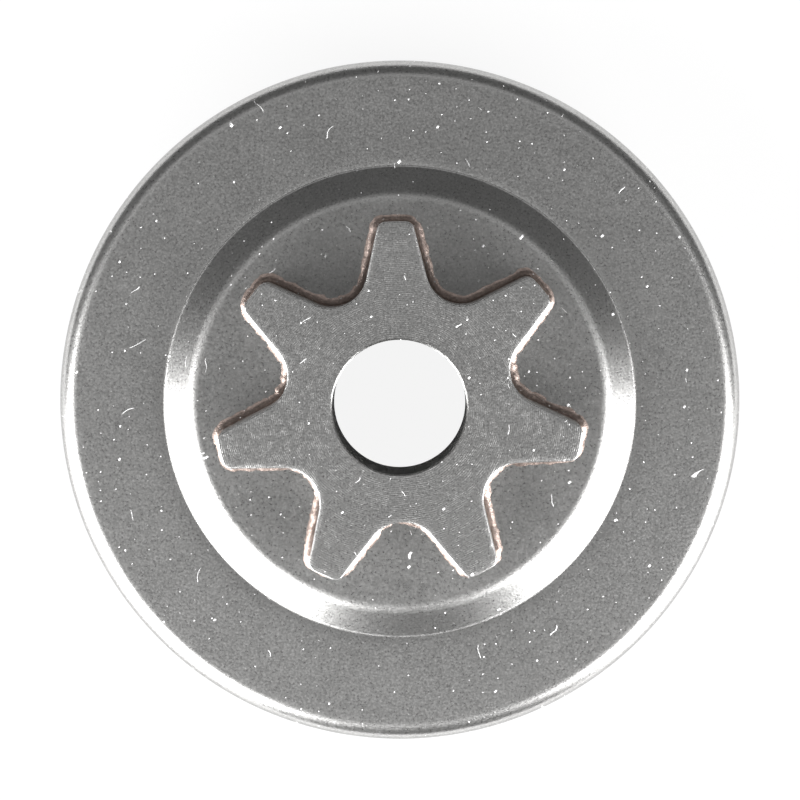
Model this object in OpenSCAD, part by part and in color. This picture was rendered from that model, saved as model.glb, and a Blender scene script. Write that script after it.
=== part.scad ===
// Clutch drum of a chainsaw with its spur star, in millimetres.
// The open rim stands on z = 0, the star is on top, and one tooth points along +Y.

/* [Drum] */
// Outside diameter of the drum
drum_d = 67.5; // [64:0.5:76]
// Height from the open rim to the flat ring round the raised centre
drum_h = 18.5; // [15:0.5:24]
// Thickness of the pressed steel sheet
sheet_t = 1.6; // [1.2:0.1:2]
// Outer radius of the bend between the flat ring and the wall
shoulder_r = 1.8; // [1.4:0.1:3]
// Chamfer on both edges of the open rim
rim_chamfer = 0.3; // [0.1:0.05:0.5]
// Width of the notch in the rim that takes the oil pump's drive spring
notch_w = 3.6; // [2:0.2:6]
// Depth of that notch
notch_depth = 2.6; // [1.5:0.1:4]

/* [Raised centre] */
// Flat land between the tooth crests and the edge of the raised flat
dish_land = 1.9; // [1.2:0.1:3]
// Width of the slope from the raised flat down to the flat ring, with its two bends
slope_run = 3.6; // [3.2:0.1:5]
// Height of the raised flat above the flat ring
dish_rise = 1.6; // [1:0.1:2.4]
// Outer radius of the bend at the top of the slope
dish_bend_r = 2.5; // [2.1:0.1:3.2]
// Radius of the hollow at the foot of the slope
dish_foot_r = 0.5; // [0.2:0.1:1]

/* [Spur star] */
// Number of teeth
teeth = 7; // [6:1:8]
// Diameter over the tooth crests
tip_d = 35.8; // [34.6:0.2:38]
// Diameter at the bottom of the gaps between the teeth
root_d = 22.3; // [21.4:0.1:23.6]
// Width of a tooth at its crest, measured before the corners are rounded
crest_w = 3.3; // [2.8:0.1:3.8]
// Angle between a flank and the centre line of its tooth
flank_angle = 13.4; // [11.5:0.1:15]
// Radius of the two corners of a crest
crest_corner_r = 0.9; // [0.4:0.1:1.2]
// Height of the star above the raised flat
star_h = 8.5; // [6:0.5:11]

/* [Bore and spigot] */
// Diameter of the bore, which takes a needle cage
bore_d = 13; // [11:0.5:15]
// Chamfer of the bore at the star's face
bore_chamfer = 0.15; // [0.05:0.05:0.6]
// Chamfer of the bore at its inner end, where the needle cage goes in
lead_chamfer = 0.5; // [0.2:0.1:0.8]
// Wall of the spigot round the bore
spigot_wall = 2; // [1.5:0.1:2.4]
// Length of spigot that stands out of the sheet inside the drum
spigot_out = 1.5; // [1:0.1:1.7]
// Gap round the spigot in its hole, which the copper fills
spigot_fit = 0.05; // [0.02:0.01:0.1]

/* [Brazed joint] */
// Leg of the copper bead round the foot of the star
star_bead = 0.8; // [0.4:0.1:1]
// Leg of the copper bead round the spigot inside the drum
hub_bead = 0.7; // [0.4:0.1:0.9]
// Clearance between a bead and the steel it runs up
bead_fit = 0.01; // [0.01:0.01:0.05]

/* [Hidden] */
$fn = 180;

// How far a cutter runs past what it cuts
over = 1;
// How much larger an arc is drawn, so that it crosses the lines that it runs into
lap = 0.002;
// Smallest radius of the bend inside the shoulder
inner_bend_min = 0.2;
// Steps along each quarter of a bead's hollow face
bead_steps = 4;
// Steps along half a crest, a crest corner and half a gap, for the bead round the star
crest_steps = 2;
corner_steps = 6;
gap_steps = 4;

// Levels, up from the rim
dish_z = drum_h + dish_rise;
under_z = dish_z - sheet_t;
spigot_z = under_z - spigot_out;
face_z = dish_z + star_h;

// Radii of the drum
drum_r = drum_d / 2;
dish_top_r = tip_d / 2 + dish_land;
dish_base_r = dish_top_r + slope_run;
spigot_r = bore_d / 2 + spigot_wall;

// The slope is the line that touches the bend above it and the hollow below it
bend_sum = dish_bend_r + dish_foot_r;
bend_drop = bend_sum - dish_rise;
slope_len = sqrt(slope_run ^ 2 + bend_drop ^ 2 - bend_sum ^ 2);
slope_angle = atan2(bend_sum, slope_len) - atan2(bend_drop, slope_run);
slope_normal = [sin(slope_angle), cos(slope_angle)];

// The star, drawn with one tooth along +Y
tip_r = tip_d / 2;
root_r = root_d / 2;
half_pitch = 180 / teeth;
flank_normal = [cos(flank_angle), sin(flank_angle)];
// Distance of a flank's line from the axis
flank_offset = crest_w / 2 * cos(flank_angle) + tip_r * sin(flank_angle);
// A gap's round bottom touches both flanks and the root circle
gap_sin = sin(half_pitch + flank_angle);
gap_r = (root_r * gap_sin - flank_offset) / (1 - gap_sin);
gap_centre_r = root_r + gap_r;
// A crest's corner touches its flank and the tip circle
corner_centre_r = tip_r - crest_corner_r;
corner_turn = asin((flank_offset - crest_corner_r) / corner_centre_r) - flank_angle;

// A point at radius r, turned clockwise from +Y
function from_y(r, turn) = [r * sin(turn), r * cos(turn)];
function mirror_x(p) = [-p.x, p.y];
function turned(p, turn) = [
    p.x * cos(turn) + p.y * sin(turn),
    p.y * cos(turn) - p.x * sin(turn)
];
function reversed(list) = [for (i = [len(list) - 1:-1:0]) list[i]];
function round_the_teeth(points) =
    [for (i = [0:teeth - 1]) for (p = points) turned(p, 2 * half_pitch * i)];

gap_centre = from_y(gap_centre_r, half_pitch);
corner_centre = from_y(corner_centre_r, corner_turn);

// Right half of a tooth, from outside its crest to the foot of its flank
half_tooth = [
    from_y(tip_r + over, corner_turn),
    corner_centre,
    corner_centre + crest_corner_r * flank_normal,
    gap_centre - gap_r * flank_normal
];
star_points = round_the_teeth(
    concat(reversed([for (p = half_tooth) mirror_x(p)]), half_tooth)
);

module star_outline() {
    intersection() {
        circle(r = tip_r);
        difference() {
            union() {
                polygon(star_points);
                for (i = [0:teeth - 1], side = [-1, 1])
                    rotate(2 * half_pitch * i + side * corner_turn)
                        translate([0, corner_centre_r])
                            circle(r = crest_corner_r + lap);
            }
            for (i = [0:teeth - 1])
                rotate(2 * half_pitch * (i + 0.5))
                    translate([0, gap_centre_r])
                        circle(r = gap_r + lap);
        }
    }
}

// Half section of all that lies under a surface that is depth below the sheet's outer face
module under_sheet(depth) {
    wall_r = drum_r - depth;
    flat_z = drum_h - depth;
    top_z = dish_z - depth;
    bend_r = dish_bend_r - depth;
    foot_r = dish_foot_r + depth;
    corner_r = max(shoulder_r - depth, inner_bend_min);
    bend_centre = [dish_top_r, dish_z - dish_bend_r];
    foot_centre = [dish_base_r, drum_h + dish_foot_r];
    difference() {
        union() {
            polygon([
                [0, -over],
                [wall_r, -over],
                [wall_r, flat_z - corner_r],
                [wall_r - corner_r, flat_z],
                [dish_base_r, flat_z],
                foot_centre - foot_r * slope_normal,
                bend_centre + bend_r * slope_normal,
                [dish_top_r, top_z],
                [0, top_z]
            ]);
            translate([wall_r - corner_r, flat_z - corner_r])
                circle(r = corner_r + lap);
            translate(bend_centre)
                circle(r = bend_r + lap);
        }
        translate(foot_centre)
            circle(r = foot_r + lap);
    }
}

// Triangle that takes the edge off the rim, on the side of the wall that side gives
module rim_cut(r, side) {
    translate([r, 0])
        polygon([
            [side * over, -over],
            [-side * (rim_chamfer + over), -over],
            [side * over, rim_chamfer + over]
        ]);
}

module clutch_drum() {
    color("dimgray")
        difference() {
            rotate_extrude()
                difference() {
                    under_sheet(0);
                    under_sheet(sheet_t);
                    translate([0, -2 * over])
                        square([drum_d, 2 * over]);
                    square([spigot_r + spigot_fit, face_z]);
                    rim_cut(drum_r, 1);
                    rim_cut(drum_r - sheet_t, -1);
                }
            translate([-notch_w / 2, -drum_r - over, -over])
                cube([notch_w, sheet_t + 3 * over, notch_depth + over]);
        }
}

// Cutter for the bore and the chamfers at its two ends
module bore_cutter() {
    bore_r = bore_d / 2;
    rotate_extrude()
        polygon([
            [0, spigot_z - over],
            [bore_r + lead_chamfer + over, spigot_z - over],
            [bore_r, spigot_z + lead_chamfer],
            [bore_r, face_z - bore_chamfer],
            [bore_r + bore_chamfer + over, face_z + over],
            [0, face_z + over]
        ]);
}

module spur_star() {
    color("gray")
        difference() {
            union() {
                translate([0, 0, dish_z])
                    linear_extrude(height = star_h)
                        star_outline();
                translate([0, 0, spigot_z])
                    cylinder(r = spigot_r, h = face_z - spigot_z - over);
            }
            bore_cutter();
        }
}

// Section of a bead of copper: [distance out from the steel, height above its seat]
function bead_section(leg) = concat(
    [[bead_fit, 0]],
    [for (i = [0:bead_steps])
        [bead_fit + leg * (1 - cos(90 * i / bead_steps)), leg * (1 - sin(90 * i / bead_steps))]]
);

// Right half of a tooth's outline, grown by out, with its crest, corner and gap as arcs
function half_outline(out) = concat(
    [for (i = [1:crest_steps]) from_y(tip_r + out, corner_turn * (i - 0.5) / crest_steps)],
    [for (i = [0:corner_steps])
        corner_centre + from_y(
            crest_corner_r + out,
            corner_turn + (90 - flank_angle - corner_turn) * i / corner_steps
        )],
    [for (i = [0:gap_steps - 1])
        gap_centre - from_y(
            gap_r - out,
            90 - flank_angle - (90 - flank_angle - half_pitch) * i / (gap_steps - 0.5)
        )]
);
function grown_outline(out) = round_the_teeth(
    concat(reversed([for (p = half_outline(out)) mirror_x(p)]), half_outline(out))
);

module star_braze() {
    section = bead_section(star_bead);
    rings = [for (s = section) [for (p = grown_outline(s.x)) [p.x, p.y, dish_z + s.y]]];
    rows = len(rings);
    columns = len(rings[0]);
    color("rosybrown")
        polyhedron(
            points = [for (ring = rings) for (p = ring) p],
            faces = [
                for (i = [0:rows - 1], j = [0:columns - 1], half = [0, 1])
                    let (
                        this_row = i * columns,
                        next_row = (i + 1) % rows * columns,
                        next_j = (j + 1) % columns
                    )
                    half == 0
                        ? [this_row + j, next_row + j, next_row + next_j]
                        : [this_row + j, next_row + next_j, this_row + next_j]
            ]
        );
}

module hub_braze() {
    color("rosybrown")
        rotate_extrude()
            translate([spigot_r, under_z])
                polygon([for (s = bead_section(hub_bead)) [s.x, -s.y]]);
}

clutch_drum();
spur_star();
star_braze();
hub_braze();
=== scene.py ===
# Clutch drum of a chainsaw with its spur star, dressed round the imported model.
# Lengths are in millimetres and are turned into metres where a mesh is made.
import math

import bmesh
import bpy
from mathutils import Matrix, Vector, noise


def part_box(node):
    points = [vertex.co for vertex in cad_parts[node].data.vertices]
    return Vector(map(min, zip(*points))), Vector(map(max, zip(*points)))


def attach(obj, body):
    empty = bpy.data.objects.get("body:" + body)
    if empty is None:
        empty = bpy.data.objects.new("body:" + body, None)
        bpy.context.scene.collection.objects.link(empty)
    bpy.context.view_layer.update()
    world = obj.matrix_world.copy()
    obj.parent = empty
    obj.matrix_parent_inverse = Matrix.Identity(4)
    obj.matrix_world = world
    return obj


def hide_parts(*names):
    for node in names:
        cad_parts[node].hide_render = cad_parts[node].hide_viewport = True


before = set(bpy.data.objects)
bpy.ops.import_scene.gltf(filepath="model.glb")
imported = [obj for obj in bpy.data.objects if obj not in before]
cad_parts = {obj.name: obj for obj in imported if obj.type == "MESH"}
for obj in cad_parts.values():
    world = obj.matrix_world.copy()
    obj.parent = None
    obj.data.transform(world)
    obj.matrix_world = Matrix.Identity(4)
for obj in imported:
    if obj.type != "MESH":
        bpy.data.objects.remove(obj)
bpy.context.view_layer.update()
MM = 0.001


# Clutch drum: a cup pressed from one sheet of steel, with its flat bottom on top here.
# The bottom has a raised flat centre that carries the star, and the open rim has a notch
# for the drive spring of the oil pump. It was furnace-brazed and then tumbled.
drum_low, drum_high = (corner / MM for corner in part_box("clutch_drum"))
drum_r = min(drum_high.x, drum_high.y)
dish_z = drum_high.z
dish_rise = 1.6
ring_z = dish_z - dish_rise
sheet_t = 1.6
shoulder_r = 1.8
inner_shoulder_r = 0.2
rim_chamfer = 0.3
dish_top_r = 19.8
dish_base_r = 23.4
dish_bend_r = 2.5
dish_foot_r = 0.5
hole_r = 8.55
notch_w = 3.6
notch_depth = 2.6
# The foot of the slope sank a little deeper into the die than the flat ring round it
foot_sink = 0.07
foot_sink_run = 0.55
foot_sink_end = 3.2


def arc(centre, radius, start, end, steps):
    """Points of an arc. Its angles are in degrees from +r towards +z."""
    points = []
    for i in range(steps + 1):
        angle = math.radians(start + (end - start) * i / steps)
        points.append((centre[0] + radius * math.cos(angle), centre[1] + radius * math.sin(angle)))
    return points


def line(start, end, steps, crowding=1):
    """Points of a straight stretch without its end. Crowding above 1 packs them near the end."""
    shares = [1 - (1 - i / steps) ** crowding for i in range(steps)]
    return [
        (start[0] + (end[0] - start[0]) * share, start[1] + (end[1] - start[1]) * share)
        for share in shares
    ]


def sheet_side(depth, steps):
    """Section of one side of the sheet, depth below its outer face, from the rim to the hole."""
    bend_sum = dish_bend_r + dish_foot_r
    bend_drop = bend_sum - dish_rise
    slope_run = dish_base_r - dish_top_r
    slope_len = math.sqrt(slope_run**2 + bend_drop**2 - bend_sum**2)
    slope = math.degrees(math.atan2(bend_sum, slope_len) - math.atan2(bend_drop, slope_run))
    wall_r = drum_r - depth
    flat_z = ring_z - depth
    corner_r = max(shoulder_r - depth, inner_shoulder_r)
    corner = (wall_r - corner_r, flat_z - corner_r)
    foot = arc(
        (dish_base_r, ring_z + dish_foot_r), dish_foot_r + depth, 270, 270 - slope, steps
    )
    bend = arc(
        (dish_top_r, dish_z - dish_bend_r), dish_bend_r - depth, 90 - slope, 90, 2 * steps
    )
    points = line((wall_r, rim_chamfer), (wall_r, corner[1]), steps)
    points += arc(corner, corner_r, 0, 90, 3 * steps)[:-1]
    points += line((corner[0], flat_z), foot[0], 4 * steps, 1.8)
    points += foot[:-1] + line(foot[-1], bend[0], steps) + bend[:-1]
    points += line((dish_top_r, dish_z - depth), (hole_r, dish_z - depth), steps)
    return points + [(hole_r, dish_z - depth)]


def sunk(point):
    """A point of the ring or the foot, lowered where the foot sank into the die."""
    r, z = point
    out = r - dish_base_r
    if 0 <= out < foot_sink_end:
        z -= foot_sink * (math.exp(-out / foot_sink_run) - math.exp(-foot_sink_end / foot_sink_run))
    return (r, z)


def section_object(name, points):
    """An object whose mesh is a closed outline in the XZ plane, ready to be turned about Z."""
    mesh = bpy.data.meshes.new(name)
    mesh.from_pydata(
        [(r * MM, 0, z * MM) for r, z in points],
        [(i, (i + 1) % len(points)) for i in range(len(points))],
        [],
    )
    made = bpy.data.objects.new(name, mesh)
    bpy.context.scene.collection.objects.link(made)
    return made


def put(tree, kind, inputs=None, **settings):
    """Adds a node to a tree, with its settings, and fills or wires its inputs."""
    made = tree.nodes.new(kind)
    for name, value in settings.items():
        setattr(made, name, value)
    for key, value in (inputs or {}).items():
        if isinstance(value, bpy.types.NodeSocket):
            tree.links.new(value, made.inputs[key])
        else:
            made.inputs[key].default_value = value
    return made


def geometry_tree(name, sizes):
    """A Geometry Nodes tree with a named input for each size. Returns it, its inputs and its end."""
    tree = bpy.data.node_groups.new(name, "GeometryNodeTree")
    tree.interface.new_socket("Geometry", in_out="INPUT", socket_type="NodeSocketGeometry")
    tree.interface.new_socket("Geometry", in_out="OUTPUT", socket_type="NodeSocketGeometry")
    for size, kind in sizes.items():
        tree.interface.new_socket(size, in_out="INPUT", socket_type="NodeSocket" + kind)
    start = put(tree, "NodeGroupInput").outputs
    return tree, start, put(tree, "NodeGroupOutput")


def run_tree(piece, tree, values):
    """Runs a tree on a piece with these values for its inputs, and keeps the plain mesh it makes."""
    modifier = piece.modifiers.new(tree.name, "NODES")
    modifier.node_group = tree
    for item in tree.interface.items_tree:
        if item.in_out == "INPUT" and item.name in values:
            modifier[item.identifier] = values[item.name]
    bpy.context.view_layer.update()
    result = bpy.data.meshes.new_from_object(
        piece.evaluated_get(bpy.context.evaluated_depsgraph_get())
    )
    piece.modifiers.clear()
    piece.data = result
    return piece


def finish_steel(piece, sharp_angle):
    """Closes a piece's seams, turns its faces outwards and keeps the edges sharper than an angle."""
    shape = bmesh.new()
    shape.from_mesh(piece.data)
    bmesh.ops.remove_doubles(shape, verts=shape.verts, dist=0.0005 * MM)
    bmesh.ops.recalc_face_normals(shape, faces=shape.faces)
    for face in shape.faces:
        face.smooth = True
    shape.to_mesh(piece.data)
    shape.free()
    piece.data.set_sharp_from_angle(angle=math.radians(sharp_angle))


def pressed_drum_tree(material):
    """Turns a section about the Z axis, makes it slightly uneven and cuts the notch in the rim."""
    tree, sizes, end = geometry_tree(
        "Pressed drum",
        {
            "Columns": "Int",
            "Path Radius": "Float",
            "Unevenness": "Float",
            "Notch Size": "Vector",
            "Notch Place": "Vector",
        },
    )
    offset = put(tree, "ShaderNodeCombineXYZ", {"X": sizes["Path Radius"]})
    inward = put(tree, "ShaderNodeVectorMath", {0: offset.outputs[0], "Scale": -1.0}, operation="SCALE")
    section = put(tree, "GeometryNodeMeshToCurve", {"Mesh": sizes["Geometry"]})
    section = put(
        tree,
        "GeometryNodeTransform",
        {"Geometry": section.outputs[0], "Translation": inward.outputs[0]},
    )
    # A profile lies in the XY plane of its path, so the section is laid down first
    section = put(
        tree,
        "GeometryNodeTransform",
        {"Geometry": section.outputs[0], "Rotation": (math.radians(90), 0, 0)},
    )
    path = put(
        tree,
        "GeometryNodeCurvePrimitiveCircle",
        {"Resolution": sizes["Columns"], "Radius": sizes["Path Radius"]},
    )
    turned = put(
        tree,
        "GeometryNodeCurveToMesh",
        {"Curve": path.outputs[0], "Profile Curve": section.outputs[0]},
    )
    wave = put(tree, "ShaderNodeTexNoise", {"Scale": 160.0, "Detail": 1.0})
    depth = put(
        tree, "ShaderNodeMath", {0: wave.outputs[0], 1: sizes["Unevenness"]}, operation="MULTIPLY"
    )
    normal = put(tree, "GeometryNodeInputNormal")
    push = put(
        tree,
        "ShaderNodeVectorMath",
        {0: normal.outputs[0], "Scale": depth.outputs[0]},
        operation="SCALE",
    )
    uneven = put(
        tree,
        "GeometryNodeSetPosition",
        {"Geometry": turned.outputs[0], "Offset": push.outputs[0]},
    )
    cutter = put(tree, "GeometryNodeMeshCube", {"Size": sizes["Notch Size"]})
    cutter = put(
        tree,
        "GeometryNodeTransform",
        {"Geometry": cutter.outputs[0], "Translation": sizes["Notch Place"]},
    )
    notched = put(tree, "GeometryNodeMeshBoolean", operation="DIFFERENCE", solver="EXACT")
    tree.links.new(uneven.outputs[0], notched.inputs[0])
    tree.links.new(cutter.outputs[0], notched.inputs[1])
    real = put(tree, "GeometryNodeRealizeInstances", {"Geometry": notched.outputs[0]})
    painted = put(
        tree, "GeometryNodeSetMaterial", {"Geometry": real.outputs[0], "Material": material}
    )
    tree.links.new(painted.outputs[0], end.inputs[0])
    return tree


drum_steel = bpy.data.materials.new("tumbled_drum_steel")
outer_side = [sunk(point) for point in sheet_side(0, 6)]
inner_side = sheet_side(sheet_t, 3)
outer_rim = [(drum_r - rim_chamfer, 0)]
inner_rim = [(drum_r - sheet_t + rim_chamfer, 0)]
clutch_drum = section_object("pressed_drum", inner_rim + outer_rim + outer_side + inner_side[::-1])
run_tree(
    clutch_drum,
    pressed_drum_tree(drum_steel),
    {
        "Columns": 720,
        "Path Radius": drum_r / 2 * MM,
        "Unevenness": -0.01 * MM,
        "Notch Size": (notch_w * MM, 4 * sheet_t * MM, 2 * notch_depth * MM),
        "Notch Place": (0, -drum_r * MM, 0),
    },
)
finish_steel(clutch_drum, 30)


# Steel finish: the dull grey skin of furnace-brazed and tumbled steel, shared by both steel
# pieces. It has a fine sparkling grain, faint stains, and near-white specks and short curved
# scratches that are partly dust and chips and partly painted glints.
def number(tree, operation, *terms, clamp=False):
    """The result of a Math node."""
    return put(tree, "ShaderNodeMath", dict(enumerate(terms)), operation=operation, use_clamp=clamp).outputs[0]


def smooth_step(tree, value, low, high):
    """Goes smoothly from 0 where value is at low to 1 where it is at high."""
    return put(
        tree,
        "ShaderNodeMapRange",
        {"Value": value, "From Min": low, "From Max": high},
        interpolation_type="SMOOTHSTEP",
    ).outputs[0]


def vector(tree, operation, *terms, scale=None):
    """The vector that a Vector Math node makes."""
    inputs = dict(enumerate(terms))
    if scale is not None:
        inputs["Scale"] = scale
    return put(tree, "ShaderNodeVectorMath", inputs, operation=operation).outputs[0]


def length_of(tree, term):
    """The length of a vector."""
    return put(tree, "ShaderNodeVectorMath", {0: term}, operation="LENGTH").outputs["Value"]


def product_of(tree, first, second):
    """The dot product of two vectors."""
    return put(
        tree, "ShaderNodeVectorMath", {0: first, 1: second}, operation="DOT_PRODUCT"
    ).outputs["Value"]


def shader_group(name, inputs, outputs):
    """A shader node group. Inputs give each name its default, and outputs each name its kind."""
    tree = bpy.data.node_groups.new(name, "ShaderNodeTree")
    for socket, default in inputs.items():
        kind = "NodeSocketVector" if default is None else "NodeSocketFloat"
        made = tree.interface.new_socket(socket, in_out="INPUT", socket_type=kind)
        if default is not None:
            made.default_value = default
    for socket, kind in outputs.items():
        tree.interface.new_socket(socket, in_out="OUTPUT", socket_type="NodeSocket" + kind)
    start = put(tree, "NodeGroupInput").outputs
    return tree, start, put(tree, "NodeGroupOutput")


def grain_group():
    """Fine grain of a tumbled surface, with broader stains: a tone round 1 and a height round 0."""
    tree, sizes, end = shader_group(
        "Tumbled grain",
        {"Place": None, "Grain Per Mm": 5.0, "Contrast": 0.25, "Stains": 0.1},
        {"Tone": "Float", "Height": "Float"},
    )
    fine = put(
        tree,
        "ShaderNodeTexNoise",
        {"Vector": sizes["Place"], "Scale": sizes["Grain Per Mm"], "Detail": 2.0, "Roughness": 0.65},
    ).outputs[0]
    broad = put(
        tree, "ShaderNodeTexNoise", {"Vector": sizes["Place"], "Scale": 0.22, "Detail": 3.0}
    ).outputs[0]
    height = number(tree, "SUBTRACT", fine, 0.5)
    grain = number(tree, "MULTIPLY", height, number(tree, "MULTIPLY", sizes["Contrast"], 4.0))
    stain = number(
        tree,
        "MULTIPLY",
        number(tree, "SUBTRACT", broad, 0.5),
        number(tree, "MULTIPLY", sizes["Stains"], 4.0),
    )
    tone = number(tree, "ADD", number(tree, "ADD", grain, stain), 1.0)
    tree.links.new(number(tree, "MAXIMUM", tone, 0.2), end.inputs["Tone"])
    tree.links.new(height, end.inputs["Height"])
    return tree


def marks_group():
    """Short marks that lie in the surface, one at most in each cell: 1 on a mark and 0 off it."""
    tree, sizes, end = shader_group(
        "Dust and glint marks",
        {"Place": None, "Cell": 3.0, "Share": 0.3, "Half Length": 0.5, "Half Width": 0.05, "Bend": 0.0},
        {"Mask": "Float"},
    )
    bend = put(
        tree, "ShaderNodeTexNoise", {"Vector": sizes["Place"], "Scale": 0.8, "Detail": 0.0}
    ).outputs["Color"]
    bend = vector(tree, "SUBTRACT", bend, (0.5, 0.5, 0.5))
    place = vector(tree, "ADD", sizes["Place"], vector(tree, "SCALE", bend, scale=sizes["Bend"]))
    per_cell = number(tree, "DIVIDE", 1.0, sizes["Cell"])
    place = vector(tree, "SCALE", place, scale=per_cell)
    cells = put(tree, "ShaderNodeTexVoronoi", {"Vector": place, "Scale": 1.0})
    away = vector(tree, "SUBTRACT", place, cells.outputs["Position"])
    away = vector(tree, "SCALE", away, scale=sizes["Cell"])
    upright = put(tree, "ShaderNodeNewGeometry").outputs["True Normal"]
    rise = product_of(tree, away, upright)
    flat = vector(tree, "SUBTRACT", away, vector(tree, "SCALE", upright, scale=rise))
    chance = put(tree, "ShaderNodeSeparateColor", {0: cells.outputs["Color"]}).outputs
    aim = vector(tree, "SUBTRACT", cells.outputs["Color"], (0.5, 0.5, 0.5))
    along = vector(tree, "NORMALIZE", vector(tree, "CROSS_PRODUCT", aim, upright))
    run = product_of(tree, flat, along)
    side = length_of(tree, vector(tree, "SUBTRACT", flat, vector(tree, "SCALE", along, scale=run)))
    size = number(tree, "ADD", number(tree, "MULTIPLY", chance[1], 0.9), 0.3)
    half_width = number(tree, "MULTIPLY", sizes["Half Width"], size)
    half_length = number(tree, "MULTIPLY", sizes["Half Length"], size)
    thin = smooth_step(tree, side, half_width, number(tree, "MULTIPLY", half_width, 0.5))
    short = smooth_step(
        tree,
        number(tree, "ABSOLUTE", run),
        half_length,
        number(tree, "MULTIPLY", half_length, 0.6),
    )
    kept = number(tree, "LESS_THAN", chance[0], sizes["Share"])
    mask = number(tree, "MULTIPLY", number(tree, "MULTIPLY", thin, short), kept)
    tree.links.new(mask, end.inputs["Mask"])
    return tree


def turned_group():
    """Fine rings that a cutting or grinding tool left round the Z axis: a tone and a height."""
    tree, sizes, end = shader_group(
        "Turned rings",
        {"Place": None, "Pitch": 0.2, "Contrast": 0.1},
        {"Tone": "Float", "Height": "Float"},
    )
    flat = vector(tree, "MULTIPLY", sizes["Place"], (1.0, 1.0, 0.0))
    out = length_of(tree, flat)
    waver = put(
        tree, "ShaderNodeTexNoise", {"Vector": sizes["Place"], "Scale": 0.35, "Detail": 1.0}
    ).outputs[0]
    out = number(tree, "ADD", out, number(tree, "MULTIPLY", waver, 0.5))
    turn = number(tree, "MULTIPLY", number(tree, "DIVIDE", out, sizes["Pitch"]), 2 * math.pi)
    ring = number(tree, "SINE", turn)
    break_up = put(
        tree, "ShaderNodeTexNoise", {"Vector": sizes["Place"], "Scale": 1.6, "Detail": 2.0}
    ).outputs[0]
    height = number(tree, "MULTIPLY", ring, smooth_step(tree, break_up, 0.3, 0.7))
    tone = number(tree, "ADD", number(tree, "MULTIPLY", height, sizes["Contrast"]), 1.0)
    tree.links.new(tone, end.inputs["Tone"])
    tree.links.new(height, end.inputs["Height"])
    return tree


tumbled_grain = grain_group()
dust_and_glint_marks = marks_group()
turned_rings = turned_group()


def place_in_mm(tree):
    """Where a point of the piece is, in millimetres."""
    return vector(tree, "SCALE", put(tree, "ShaderNodeTexCoord").outputs["Object"], scale=1 / MM)


def use_group(tree, group, place, **values):
    """Puts a node group in a material, with its own values."""
    inputs = {key.replace("_", " "): value for key, value in values.items()}
    return put(tree, "ShaderNodeGroup", {}, node_tree=group), {"Place": place, **inputs}


def wired_group(tree, group, place, **values):
    """The outputs of a node group placed in a material with its own values."""
    made, inputs = use_group(tree, group, place, **values)
    for key, value in inputs.items():
        if isinstance(value, bpy.types.NodeSocket):
            tree.links.new(value, made.inputs[key])
        else:
            made.inputs[key].default_value = value
    return made.outputs


def marks(tree, place, kinds):
    """Several kinds of near-white marks together: dust, chips and scratches, and painted glints."""
    mask = None
    for cell, share, half_length, half_width, bend in kinds:
        one = wired_group(
            tree,
            dust_and_glint_marks,
            place,
            Cell=cell,
            Share=share,
            Half_Length=half_length,
            Half_Width=half_width,
            Bend=bend,
        )["Mask"]
        mask = one if mask is None else number(tree, "MAXIMUM", mask, one)
    return mask


def toned(tree, colour, *tones):
    """A colour made lighter or darker by each tone."""
    tone = tones[0]
    for another in tones[1:]:
        tone = number(tree, "MULTIPLY", tone, another)
    return vector(tree, "SCALE", colour, scale=tone)


def mixed_colour(tree, mask, first, second):
    """The first colour where mask is 0 and the second where it is 1."""
    inputs = {0: mask, 6: first, 7: second}
    return put(tree, "ShaderNodeMix", inputs, data_type="RGBA").outputs[2]


def finish_material(material, colour, roughness, metallic, height, bump, coat=None):
    """Gives a material its one shader, with the height as a fine relief of bump millimetres."""
    tree = material.node_tree
    relief = put(tree, "ShaderNodeBump", {"Height": height, "Distance": bump * MM, "Strength": 1.0})
    shader = put(
        tree,
        "ShaderNodeBsdfPrincipled",
        {
            "Base Color": colour,
            "Roughness": roughness,
            "Metallic": metallic,
            "Normal": relief.outputs[0],
        },
    )
    put(tree, "ShaderNodeOutputMaterial", {"Surface": shader.outputs[0]})


def empty_material(material):
    """The emptied node tree of a material."""
    material.use_nodes = True
    material.node_tree.nodes.clear()
    return material.node_tree


steel_colour = (0.45, 0.447, 0.44)
# Near-white colour of the specks and scratches: partly dust and chips, partly painted glints that stay bright
# under any lamp.
dust_and_glint_colour = (0.85, 0.85, 0.85, 1.0)
drum_dust_and_glints = [
    (1.5, 0.3, 0.07, 0.06, 0.0),
    (4.0, 0.3, 0.16, 0.11, 0.0),
    (7.0, 0.35, 0.75, 0.05, 1.2),
]


def paint_drum_steel():
    """Pressed sheet: even grain, with near-white specks and scratches all over, partly dust and chips and partly
    painted glints.
    """
    tree = empty_material(drum_steel)
    place = place_in_mm(tree)
    grain = wired_group(tree, tumbled_grain, place, Grain_Per_Mm=4.5, Contrast=0.22, Stains=0.06)
    mask = marks(tree, place, drum_dust_and_glints)
    colour = toned(tree, steel_colour, grain["Tone"])
    # Painted glints: the marks take the near-white colour and lose most of their metal, so they stay bright under
    # any lamp; some stand for dust and chips.
    colour = mixed_colour(tree, mask, colour, dust_and_glint_colour)
    metallic = number(tree, "SUBTRACT", 1.0, number(tree, "MULTIPLY", mask, 0.8))
    rough = number(tree, "ADD", number(tree, "MULTIPLY", grain["Height"], 0.15), 0.3)
    rough = number(tree, "ADD", rough, number(tree, "MULTIPLY", mask, 0.25))
    height = number(tree, "ADD", grain["Height"], number(tree, "MULTIPLY", mask, 1.5))
    finish_material(drum_steel, colour, rough, metallic, height, 0.012)


paint_drum_steel()
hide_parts("clutch_drum")
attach(clutch_drum, "root")


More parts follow.
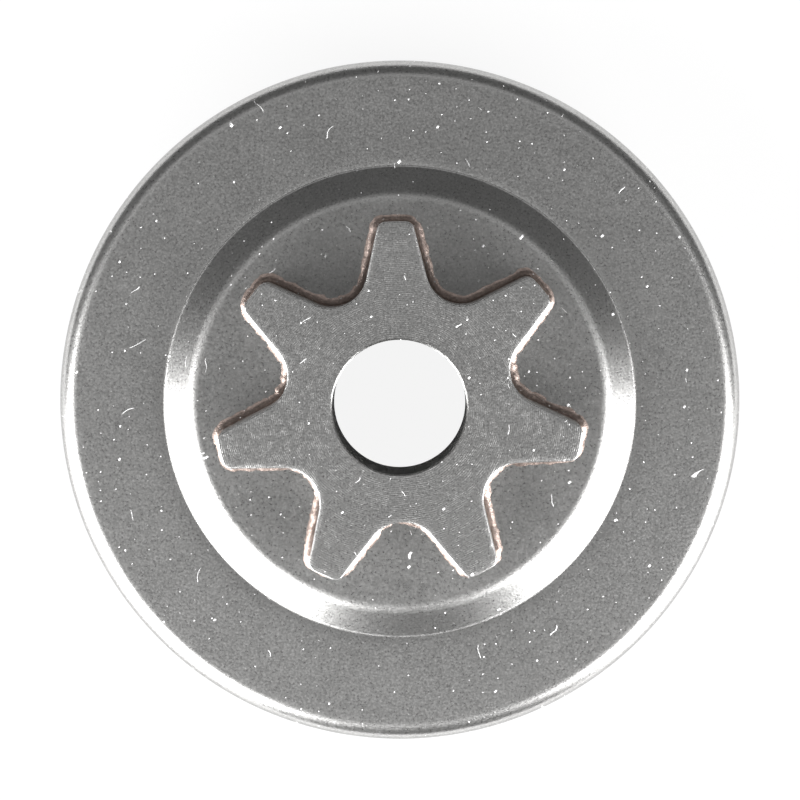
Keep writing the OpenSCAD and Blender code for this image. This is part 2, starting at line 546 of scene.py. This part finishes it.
# Spur star: seven teeth, a spigot that goes down through the sheet and a bore for the needle
# cage, all pressed and sintered as one piece of steel. Its face is ground flat, and tumbling
# took the sharpness off its edges.
star_low, star_high = (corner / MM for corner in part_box("spur_star"))
teeth = 7
face_z = star_high.z
tip_r = star_high.y
spigot_z = star_low.z
root_r = 11.15
crest_w = 3.3
flank_angle = math.radians(13.4)
crest_corner_r = 0.9
bore_r = 6.5
bore_chamfer = 0.15
lead_chamfer = 0.5
spigot_r = 8.5
edge_break = 0.17
half_pitch = math.pi / teeth
# A gap's round bottom touches both flanks, and a crest's corner touches its flank and the tip
flank_offset = crest_w / 2 * math.cos(flank_angle) + tip_r * math.sin(flank_angle)
gap_sin = math.sin(half_pitch + flank_angle)
gap_r = (root_r * gap_sin - flank_offset) / (1 - gap_sin)
corner_centre_r = tip_r - crest_corner_r
corner_turn = math.asin((flank_offset - crest_corner_r) / corner_centre_r) - flank_angle


def from_y(radius, turn):
    """A point at this radius, turned clockwise from +Y."""
    return Vector((radius * math.sin(turn), radius * math.cos(turn)))


def half_tooth_outline():
    """Points and outward normals from the middle of a crest to the bottom of the next gap."""
    corner_centre = from_y(corner_centre_r, corner_turn)
    gap_centre = from_y(root_r + gap_r, half_pitch)
    flank_turn = math.pi / 2 - flank_angle
    outline = [(from_y(tip_r, corner_turn * i / 4), from_y(1, corner_turn * i / 4)) for i in range(4)]
    for i in range(11):
        normal = from_y(1, corner_turn + (flank_turn - corner_turn) * i / 10)
        outline.append((corner_centre + crest_corner_r * normal, normal))
    normal = from_y(1, flank_turn)
    flank_top = outline[-1][0]
    flank_foot = gap_centre - gap_r * normal
    outline += [(flank_top.lerp(flank_foot, i / 12), normal) for i in range(1, 12)]
    for i in range(15):
        normal = from_y(1, flank_turn - (flank_turn - half_pitch) * i / 14)
        outline.append((gap_centre - gap_r * normal, normal))
    return outline


def pitch_outline():
    """Points and outward normals of one tooth, from gap to gap, clockwise."""
    half = half_tooth_outline()
    flip = Vector((-1, 1))
    mirrored = [(point * flip, normal * flip) for point, normal in half[:0:-1]]
    return mirrored + half


def strip_object(name, rows):
    """An object whose mesh is a strip of faces between rows that close on the first one."""
    columns = len(rows[0])
    count = len(rows)
    mesh = bpy.data.meshes.new(name)
    mesh.from_pydata(
        [Vector(point) * MM for row in rows for point in row],
        [],
        [
            (
                i * columns + j,
                i * columns + j + 1,
                (i + 1) % count * columns + j + 1,
                (i + 1) % count * columns + j,
            )
            for i in range(count)
            for j in range(columns - 1)
        ],
    )
    made = bpy.data.objects.new(name, mesh)
    bpy.context.scene.collection.objects.link(made)
    return made


def star_rows():
    """Rows of one tooth's strip, round its section: face, flank, underside, spigot and bore."""
    outline = pitch_outline()
    at_radius = lambda radius, z: [(*(point.normalized() * radius), z) for point, _ in outline]
    inset = lambda depth, z: [(*(point - depth * normal), z) for point, normal in outline]
    rows = []
    for share in (0, 0.04, 0.12, 0.25, 0.4, 0.55, 0.7, 0.85, 0.95):
        rim = at_radius(bore_r + bore_chamfer, face_z)
        edge = inset(edge_break, face_z)
        rows.append([Vector(a).lerp(Vector(b), share) for a, b in zip(rim, edge)])
    for i in range(6):
        angle = math.pi / 2 * i / 5
        rows.append(
            inset(edge_break * (1 - math.sin(angle)), face_z - edge_break * (1 - math.cos(angle)))
        )
    flank_top = face_z - edge_break
    rows += [inset(0, flank_top + (dish_z - flank_top) * i / 6) for i in range(1, 7)]
    rows += [at_radius(spigot_r, dish_z), at_radius(spigot_r, spigot_z + 0.1)]
    rows += [at_radius(spigot_r - 0.1, spigot_z), at_radius(bore_r + lead_chamfer, spigot_z)]
    bore_low = spigot_z + lead_chamfer
    bore_high = face_z - bore_chamfer
    return rows + [at_radius(bore_r, bore_low + (bore_high - bore_low) * i / 6) for i in range(7)]


def spur_star_tree(material):
    """Repeats one tooth's strip round the axis and makes its edges slightly uneven."""
    tree, sizes, end = geometry_tree(
        "Spur star", {"Teeth": "Int", "Pitch": "Vector", "Unevenness": "Float"}
    )
    places = put(tree, "GeometryNodePoints", {"Count": sizes["Teeth"]})
    index = put(tree, "GeometryNodeInputIndex")
    turn = put(
        tree,
        "ShaderNodeVectorMath",
        {0: sizes["Pitch"], "Scale": index.outputs[0]},
        operation="SCALE",
    )
    ring = put(
        tree,
        "GeometryNodeInstanceOnPoints",
        {"Points": places.outputs[0], "Instance": sizes["Geometry"], "Rotation": turn.outputs[0]},
    )
    real = put(tree, "GeometryNodeRealizeInstances", {"Geometry": ring.outputs[0]})
    joined = put(
        tree, "GeometryNodeMergeByDistance", {"Geometry": real.outputs[0], "Distance": 0.001 * MM}
    )
    wave = put(tree, "ShaderNodeTexNoise", {"Scale": 900.0, "Detail": 2.0})
    depth = put(
        tree, "ShaderNodeMath", {0: wave.outputs[0], 1: sizes["Unevenness"]}, operation="MULTIPLY"
    )
    normal = put(tree, "GeometryNodeInputNormal")
    push = put(
        tree,
        "ShaderNodeVectorMath",
        {0: normal.outputs[0], "Scale": depth.outputs[0]},
        operation="SCALE",
    )
    worn = put(tree, "GeometryNodeInputNamedAttribute", {"Name": "worn"}, data_type="BOOLEAN")
    uneven = put(
        tree,
        "GeometryNodeSetPosition",
        {
            "Geometry": joined.outputs[0],
            "Selection": worn.outputs["Attribute"],
            "Offset": push.outputs[0],
        },
    )
    painted = put(
        tree, "GeometryNodeSetMaterial", {"Geometry": uneven.outputs[0], "Material": material}
    )
    tree.links.new(painted.outputs[0], end.inputs[0])
    return tree


star_steel = bpy.data.materials.new("ground_star_steel")
rows = star_rows()
spur_star = strip_object("sintered_star", rows)
worn_rows = range(9, 16)
worn = spur_star.data.attributes.new("worn", "BOOLEAN", "POINT")
for number_of_row in worn_rows:
    for j in range(len(rows[0])):
        worn.data[number_of_row * len(rows[0]) + j].value = True
run_tree(
    spur_star,
    spur_star_tree(star_steel),
    {"Teeth": teeth, "Pitch": (0, 0, -2 * half_pitch), "Unevenness": -0.05 * MM},
)
finish_steel(spur_star, 30)


def paint_star_steel():
    """Sintered steel: ground rings on the face, with grain, and near-white specks and scratches over them that
    are partly dust and chips and partly painted glints.
    """
    tree = empty_material(star_steel)
    place = place_in_mm(tree)
    grain = wired_group(tree, tumbled_grain, place, Grain_Per_Mm=5.0, Contrast=0.3, Stains=0.05)
    rings = wired_group(tree, turned_rings, place, Pitch=0.19, Contrast=0.16)
    mask = marks(tree, place, star_dust_and_glints)
    colour = toned(tree, steel_colour, grain["Tone"], rings["Tone"])
    # Painted glints: the marks take the near-white colour and lose most of their metal, so they stay bright under
    # any lamp; some stand for dust and chips.
    colour = mixed_colour(tree, mask, colour, dust_and_glint_colour)
    metallic = number(tree, "SUBTRACT", 1.0, number(tree, "MULTIPLY", mask, 0.8))
    rough = number(tree, "ADD", number(tree, "MULTIPLY", grain["Height"], 0.15), 0.3)
    rough = number(tree, "ADD", rough, number(tree, "MULTIPLY", mask, 0.25))
    height = number(tree, "ADD", grain["Height"], number(tree, "MULTIPLY", rings["Height"], 0.4))
    height = number(tree, "ADD", height, number(tree, "MULTIPLY", mask, 1.5))
    finish_material(star_steel, colour, rough, metallic, height, 0.012)


# Near-white specks and scratches of the star: partly dust and chips, partly painted glints.
star_dust_and_glints = [
    (1.3, 0.25, 0.06, 0.05, 0.0),
    (3.2, 0.35, 0.14, 0.1, 0.0),
    (5.0, 0.3, 0.5, 0.05, 1.2),
]
paint_star_steel()
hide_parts("spur_star")
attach(spur_star, "root")


# Copper beads: the copper that ran into the joint in the furnace, and stayed as a hollow
# fillet round the foot of the star and, inside the cup, round the spigot.
star_bead = 0.8
hub_bead = 0.7
bead_overlap = 0.03


def bead_rows(outline, seat_z, leg, up, seed):
    """Rows of a closed ring of copper: its hollow face, then its back and its foot, inside the steel."""
    rows = [[] for _ in range(9)]
    for point, normal in outline:
        place = Vector((point.x, point.y, seed))
        width = leg * (1 + 0.3 * noise.noise(place * 0.9) + 0.16 * noise.noise(place * 3.1))
        rise = leg * (1 + 0.3 * noise.noise(place * 1.1 + Vector((9, 0, 0))))
        rows[0].append((*(point - bead_overlap * normal), seat_z + up * rise))
        for i in range(7):
            angle = math.pi / 2 * i / 6
            ripple = 0.04 * noise.noise(Vector((point.x, point.y, seed + i)) * 2.3)
            out = width * (1 - math.cos(angle)) + ripple
            height = rise * (1 - math.sin(angle)) + ripple
            if i == 6:
                height = 0
            rows[i + 1].append((*(point + max(out, 0) * normal), seat_z + up * max(height, 0)))
        rows[8].append((*(point - bead_overlap * normal), seat_z))
    return rows


def bead_object(name, outline, seat_z, leg, up, seed, material):
    """A copper bead along a closed outline of points and outward normals."""
    rows = bead_rows(outline, seat_z, leg, up, seed)
    made = strip_object(name, [row + row[:1] for row in rows])
    made.data.materials.append(material)
    finish_steel(made, 60)
    return made


def whole_outline():
    """The outline of all the teeth, clockwise, with no point twice."""
    outline = []
    for i in range(teeth):
        turn = Matrix.Rotation(-2 * half_pitch * i, 2)
        outline += [(turn @ point, turn @ normal) for point, normal in pitch_outline()[:-1]]
    return outline


def round_outline(radius, count):
    """A circle's points and outward normals, clockwise."""
    turns = [2 * math.pi * i / count for i in range(count)]
    return [(from_y(radius, turn), from_y(1, turn)) for turn in turns]


def paint_braze():
    """Dull brown copper, lighter where it is rough, with the grain of a frozen ripple and near-white specks that
    are partly dust and partly painted glints.
    """
    tree = empty_material(braze)
    place = place_in_mm(tree)
    grain = wired_group(tree, tumbled_grain, place, Grain_Per_Mm=3.5, Contrast=0.35, Stains=0.2)
    mask = marks(tree, place, [(0.7, 0.4, 0.08, 0.07, 0.0)])
    colour = toned(tree, (0.46, 0.37, 0.33), grain["Tone"])
    # Painted glints: the specks take the near-white colour and lose part of their metal, so they stay bright
    # under any lamp; some stand for dust.
    colour = mixed_colour(tree, mask, colour, dust_and_glint_colour)
    metallic = number(tree, "SUBTRACT", 1.0, number(tree, "MULTIPLY", mask, 0.6))
    rough = number(tree, "ADD", number(tree, "MULTIPLY", grain["Height"], 0.2), 0.34)
    finish_material(braze, colour, rough, metallic, grain["Height"], 0.03)


braze = bpy.data.materials.new("brazing_copper")
paint_braze()
star_fillet = bead_object("star_copper", whole_outline(), dish_z, star_bead, 1, 3.7, braze)
hub_outline = round_outline(spigot_r, 240)
under_z = dish_z - sheet_t
hub_fillet = bead_object("hub_copper", hub_outline, under_z, hub_bead, -1, 11.3, braze)
for piece, node in ((star_fillet, "star_braze"), (hub_fillet, "hub_braze")):
    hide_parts(node)
    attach(piece, "root")


# Studio: a pale floor, two soft boxes low at the sides in front, and a dim room with a softly
# lit ceiling round the camera.
image_turn = math.radians(1.3)
camera_distance = 377.2
camera_up_tilt = math.radians(2.934)
camera_side_tilt = math.radians(0.167)
focal_px = 3812.7
image_px = 800
sensor_mm = 36
aim_mm = Vector((0.03, 0.2, ring_z))
turn_rig = Matrix.Rotation(-image_turn, 3, "Z")


def add_camera():
    """The camera nearly straight above, where the photograph was taken from."""
    camera = bpy.data.objects.new("camera", bpy.data.cameras.new("camera"))
    bpy.context.scene.collection.objects.link(camera)
    camera.data.sensor_width = sensor_mm
    camera.data.lens = focal_px * sensor_mm / image_px
    camera.data.clip_start = 0.01
    back = Vector(
        (
            math.sin(camera_side_tilt),
            math.sin(camera_up_tilt) * math.cos(camera_side_tilt),
            math.cos(camera_up_tilt) * math.cos(camera_side_tilt),
        )
    )
    place = Vector((0, 0, ring_z)) + camera_distance * back
    back = (place - aim_mm).normalized()
    right = Vector((0, 1, 0)).cross(back).normalized()
    up = back.cross(right)
    facing = Matrix((right, up, back)).transposed()
    camera.matrix_world = Matrix.Translation(turn_rig @ place * MM) @ (turn_rig @ facing).to_4x4()
    bpy.context.scene.camera = camera


def add_soft_box(name, azimuth, elevation, distance, width, height, power):
    """A soft box that faces the object. Its azimuth is clockwise from the top of the image."""
    lamp = bpy.data.objects.new(name, bpy.data.lights.new(name, "AREA"))
    bpy.context.scene.collection.objects.link(lamp)
    lamp.data.shape = "RECTANGLE"
    lamp.data.size = width
    lamp.data.size_y = height
    lamp.data.energy = power
    lamp.visible_camera = False
    turn = math.radians(azimuth)
    rise = math.radians(elevation)
    place = Vector((math.sin(turn) * math.cos(rise), math.cos(turn) * math.cos(rise), math.sin(rise)))
    place = turn_rig @ place * distance
    lamp.matrix_world = Matrix.Translation(place) @ place.to_track_quat("Z", "Y").to_matrix().to_4x4()


def paint_floor(material):
    """Pale floor that is white to the camera and in the metal, and keeps the object's shadow."""
    tree = empty_material(material)
    path = put(tree, "ShaderNodeLightPath").outputs
    seen = number(tree, "MAXIMUM", path["Is Glossy Ray"], path["Is Transmission Ray"])
    out = length_of(tree, place_in_mm(tree))
    # Under the drum and far from it, the metal shows the plain floor
    near = number(
        tree, "MULTIPLY", smooth_step(tree, out, 30.0, 34.0), smooth_step(tree, out, 90.0, 50.0)
    )
    seen = number(tree, "MULTIPLY", seen, near)
    seen = number(tree, "MULTIPLY", number(tree, "MAXIMUM", path["Is Camera Ray"], seen), 0.9)
    plain = put(tree, "ShaderNodeBsdfDiffuse", {"Color": (0.8, 0.8, 0.8, 1.0)})
    white = put(tree, "ShaderNodeEmission", {"Color": (1.0, 1.0, 1.0, 1.0), "Strength": 1.0})
    pale = put(tree, "ShaderNodeMixShader", {0: seen, 1: plain.outputs[0], 2: white.outputs[0]})
    below = put(tree, "ShaderNodeNewGeometry").outputs["Backfacing"]
    clear = put(tree, "ShaderNodeBsdfTransparent")
    both = put(tree, "ShaderNodeMixShader", {0: below, 1: pale.outputs[0], 2: clear.outputs[0]})
    put(tree, "ShaderNodeOutputMaterial", {"Surface": both.outputs[0]})


def add_floor():
    """The floor that the rim stands on."""
    half = 3.0
    mesh = bpy.data.meshes.new("floor")
    mesh.from_pydata([(-half, -half, 0), (half, -half, 0), (half, half, 0), (-half, half, 0)], [], [(0, 1, 2, 3)])
    floor = bpy.data.objects.new("floor", mesh)
    bpy.context.scene.collection.objects.link(floor)
    material = bpy.data.materials.new("pale_floor")
    paint_floor(material)
    mesh.materials.append(material)


def light_room():
    """A dim room, with a lighter ring of ceiling round the camera."""
    world = bpy.data.worlds.new("room")
    bpy.context.scene.world = world
    world.use_nodes = True
    tree = world.node_tree
    tree.nodes.clear()
    towards = put(tree, "ShaderNodeTexCoord").outputs["Generated"]
    height = put(tree, "ShaderNodeSeparateXYZ", {0: towards}).outputs["Z"]
    ceiling = number(
        tree, "MULTIPLY", smooth_step(tree, height, 0.8, 0.88), smooth_step(tree, height, 0.99, 0.96)
    )
    strength = number(tree, "ADD", number(tree, "MULTIPLY", ceiling, 0.4), 0.13)
    light = put(
        tree, "ShaderNodeBackground", {"Color": (1.0, 1.0, 1.0, 1.0), "Strength": strength}
    )
    put(tree, "ShaderNodeOutputWorld", {"Surface": light.outputs[0]})


add_camera()
add_soft_box("soft_box_right", 121, 29, 0.45, 0.35, 0.5, 4.6)
add_soft_box("soft_box_left", 235, 29, 0.45, 0.46, 0.5, 6.0)
add_floor()
light_room()
bpy.context.scene.view_settings.view_transform = "Standard"
